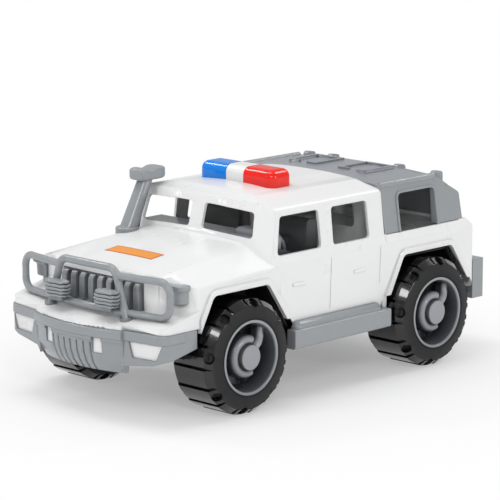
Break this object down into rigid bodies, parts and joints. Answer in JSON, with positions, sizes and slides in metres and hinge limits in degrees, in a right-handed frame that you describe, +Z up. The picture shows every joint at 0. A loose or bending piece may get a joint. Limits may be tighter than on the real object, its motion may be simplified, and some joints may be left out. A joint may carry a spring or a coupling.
{
  "type": "toy off-road patrol vehicle",
  "caption": "Moulded plastic toy off-road patrol vehicle with a hollow cab, canopied bed, bull bar, snorkel, roof light bar and free-rolling lugged wheels.",
  "frame": {"origin": "on the floor, midway along the length and width", "axes": "+X forward, +Y to the vehicle's left, +Z up"},
  "size_m": [0.384, 0.195, 0.1667],
  "materials": {
    "white_plastic": "gloss",
    "grey_plastic": "satin",
    "dark_grey_plastic": "satin",
    "black_plastic": "satin",
    "steel": "satin",
    "blue_lens": "gloss",
    "red_lens": "gloss",
    "tyre_plastic": "satin",
    "rim_plastic": "satin"
  },
  "bodies": {
    "vehicle": {"hood": "white_plastic", "fender_left": "white_plastic", "fender_right": "white_plastic", "front_panel": "white_plastic", "cab_side_left": "white_plastic", "cab_side_right": "white_plastic", "windscreen_frame": "white_plastic", "roof": "white_plastic", "cab_rear_wall": "white_plastic", "bed_side_left": "white_plastic", "bed_side_right": "white_plastic", "tailgate": "white_plastic", "bed_floor": "white_plastic", "light_bar_base": "white_plastic", "canopy_side_left": "grey_plastic", "canopy_side_right": "grey_plastic", "canopy_rear": "grey_plastic", "front_bumper": "grey_plastic", "rear_bumper": "grey_plastic", "side_step_left": "grey_plastic", "side_step_right": "grey_plastic", "grille": "grey_plastic", "bull_bar": "grey_plastic", "auxiliary_lamp_left": "grey_plastic", "auxiliary_lamp_right": "grey_plastic", "corner_lamp_left": "grey_plastic", "corner_lamp_right": "grey_plastic", "snorkel": "grey_plastic", "dashboard": "grey_plastic", "seats": "grey_plastic", "canopy_roof": "dark_grey_plastic", "steering_wheel": "dark_grey_plastic", "chassis": "black_plastic", "axle_front": "steel", "axle_rear": "steel", "lens_blue": "blue_lens", "lens_red": "red_lens"},
    "wheel_front_left": {"tyre_front_left": "tyre_plastic", "rim_front_left": "rim_plastic"},
    "wheel_front_right": {"tyre_front_right": "tyre_plastic", "rim_front_right": "rim_plastic"},
    "wheel_rear_left": {"tyre_rear_left": "tyre_plastic", "rim_rear_left": "rim_plastic"},
    "wheel_rear_right": {"tyre_rear_right": "tyre_plastic", "rim_rear_right": "rim_plastic"}
  },
  "joints": [
    {"name": "spin_front_left", "type": "hinge", "parent": "vehicle", "child": "wheel_front_left", "pos_m": [0.0985, 0.0755, 0.044], "axis": [0, 1, 0], "continuous": true},
    {"name": "spin_front_right", "type": "hinge", "parent": "vehicle", "child": "wheel_front_right", "pos_m": [0.0985, -0.0755, 0.044], "axis": [0, 1, 0], "continuous": true},
    {"name": "spin_rear_left", "type": "hinge", "parent": "vehicle", "child": "wheel_rear_left", "pos_m": [-0.113, 0.0755, 0.044], "axis": [0, 1, 0], "continuous": true},
    {"name": "spin_rear_right", "type": "hinge", "parent": "vehicle", "child": "wheel_rear_right", "pos_m": [-0.113, -0.0755, 0.044], "axis": [0, 1, 0], "continuous": true}
  ]
}
